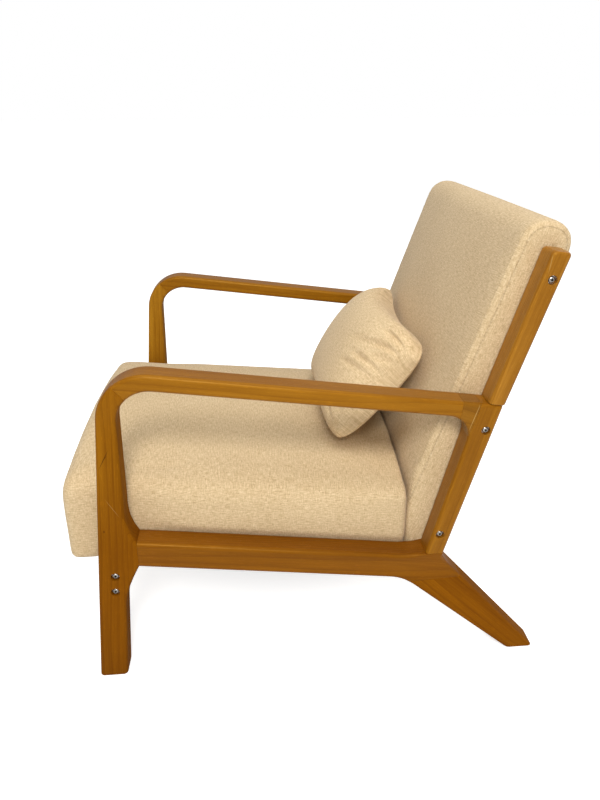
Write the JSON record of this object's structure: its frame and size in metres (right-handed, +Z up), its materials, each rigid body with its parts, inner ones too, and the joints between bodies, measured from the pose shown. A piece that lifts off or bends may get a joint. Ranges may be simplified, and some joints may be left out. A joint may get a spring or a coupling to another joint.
{
  "type": "accent chair",
  "caption": "Upholstered lounge armchair: beige linen seat, back and lumbar pillow between two bent timber side frames with splayed rear legs.",
  "frame": {"origin": "on the floor under the middle of the chair's width and depth", "axes": "+Z is up; the chair faces -Y; +X points to the sitter's left"},
  "size_m": [0.649, 0.8272, 0.7863],
  "materials": {
    "show_timber": "golden-brown hardwood, satin lacquer, grain along each piece",
    "frame_timber": "plain softwood and beech, unfinished, inside the upholstery",
    "upholstery": "beige linen weave with slubs, matt",
    "webbing": "woven elastic straps",
    "dust_cloth": "thin felted cloth",
    "steel_fittings": "bright zinc-plated steel"
  },
  "bodies": {
    "root": {"front_leg_left": "show_timber", "front_leg_right": "show_timber", "armrest_left": "show_timber", "armrest_right": "show_timber", "corner_block_left": "show_timber", "corner_block_right": "show_timber", "lower_post_left": "show_timber", "lower_post_right": "show_timber", "side_rail_left": "show_timber", "side_rail_right": "show_timber", "rear_leg_left": "show_timber", "rear_leg_right": "show_timber", "upper_post_left": "show_timber", "upper_post_right": "show_timber", "front_cross_rail": "show_timber", "seat_frame_front": "frame_timber", "seat_frame_rear": "frame_timber", "seat_frame_left": "frame_timber", "seat_frame_right": "frame_timber", "seat_webbing": "webbing", "seat_bottom_cloth": "dust_cloth", "seat_cushion": "upholstery", "back_frame_left": "frame_timber", "back_frame_right": "frame_timber", "back_frame_top": "frame_timber", "back_frame_bottom": "frame_timber", "back_webbing": "webbing", "back_cushion": "upholstery", "back_panel": "upholstery", "lumbar_pillow": "upholstery", "leg_bolts": "steel_fittings", "post_bolts": "steel_fittings", "bolt_washers": "steel_fittings", "barrel_nuts": "steel_fittings", "threaded_inserts": "steel_fittings", "leg_dowels": "frame_timber", "mitre_dowels": "frame_timber", "arm_dowels": "frame_timber", "post_dowels": "frame_timber", "rear_leg_dowels": "frame_timber", "mending_plates": "steel_fittings", "plate_screws": "steel_fittings"}
  },
  "joints": []
}
